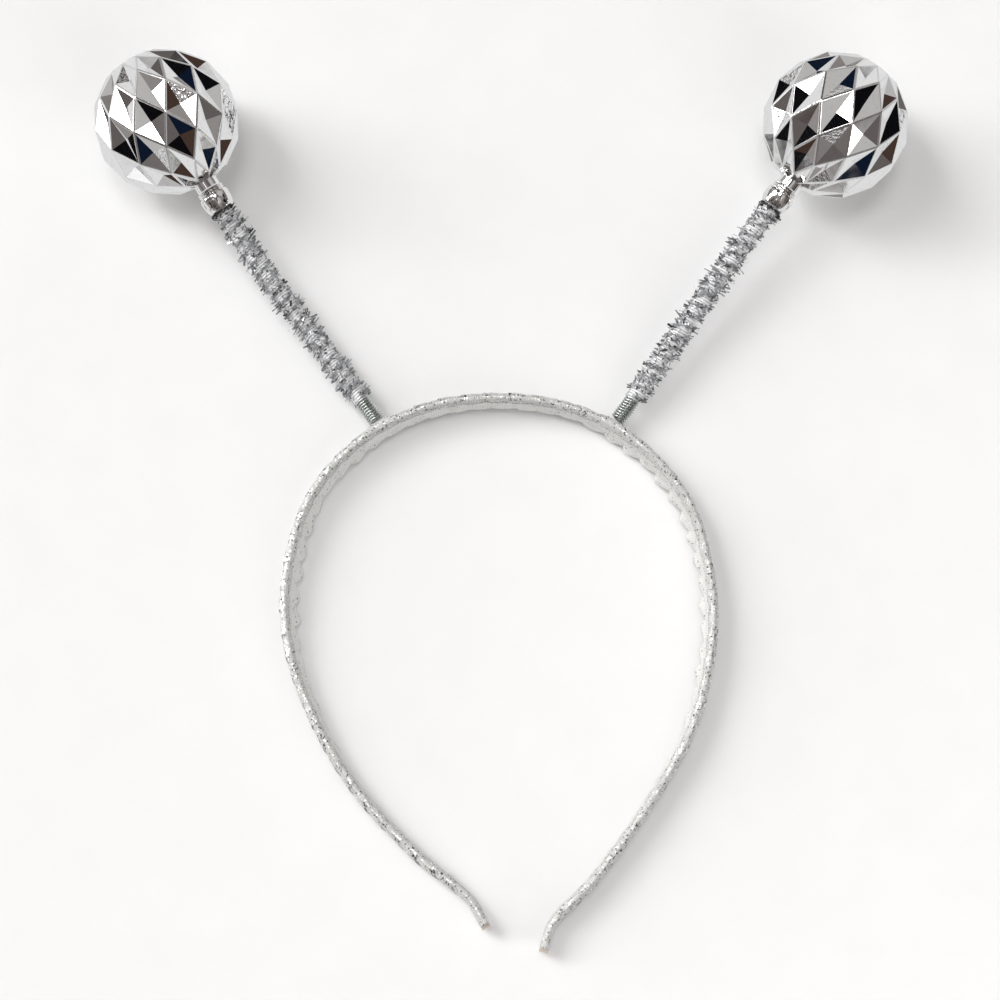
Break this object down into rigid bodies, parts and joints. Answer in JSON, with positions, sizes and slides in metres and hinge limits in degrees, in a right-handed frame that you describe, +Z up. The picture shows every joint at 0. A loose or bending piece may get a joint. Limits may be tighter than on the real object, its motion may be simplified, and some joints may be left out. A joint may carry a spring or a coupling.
{
  "type": "head bopper",
  "caption": "Ribbon-wound headband that carries faceted mirror balls on wire springs wound with foil tinsel; the balls sway on their springs.",
  "frame": {"origin": "middle of the whole object's box, on the surface that it lies on", "axes": "+Y from the headband's tips over its crown to the balls, +X to the right ball, +Z up from the surface"},
  "size_m": [0.2206, 0.2418, 0.0391],
  "materials": {
    "core_plastic": "plain moulded",
    "silver_ribbon": "ribbed metallic ribbon",
    "spring_steel": "drawn wire",
    "foil_tinsel": "bright foil",
    "plated_collar": "polished plating",
    "plated_ball": "mirror plating"
  },
  "bodies": {
    "band": {"headband_core": "core_plastic", "ribbon_wrap": "silver_ribbon", "spring_left": "spring_steel", "spring_right": "spring_steel", "tinsel_left": "foil_tinsel", "tinsel_right": "foil_tinsel"},
    "bopper_left": {"collar_left": "plated_collar", "ball_left": "plated_ball"},
    "bopper_right": {"collar_right": "plated_collar", "ball_right": "plated_ball"}
  },
  "joints": [
    {"name": "sway_left", "type": "hinge", "parent": "band", "child": "bopper_left", "pos_m": [-0.0483, 0.041, 0.0065], "axis": [0, 0, 1], "range_deg": [-35, 35], "stiffness_Nm_per_rad": 0.02, "deforming": ["spring_left", "tinsel_left"]},
    {"name": "sway_right", "type": "hinge", "parent": "band", "child": "bopper_right", "pos_m": [0.0459, 0.0413, 0.0077], "axis": [0, 0, 1], "range_deg": [-35, 35], "stiffness_Nm_per_rad": 0.02, "deforming": ["spring_right", "tinsel_right"]}
  ]
}
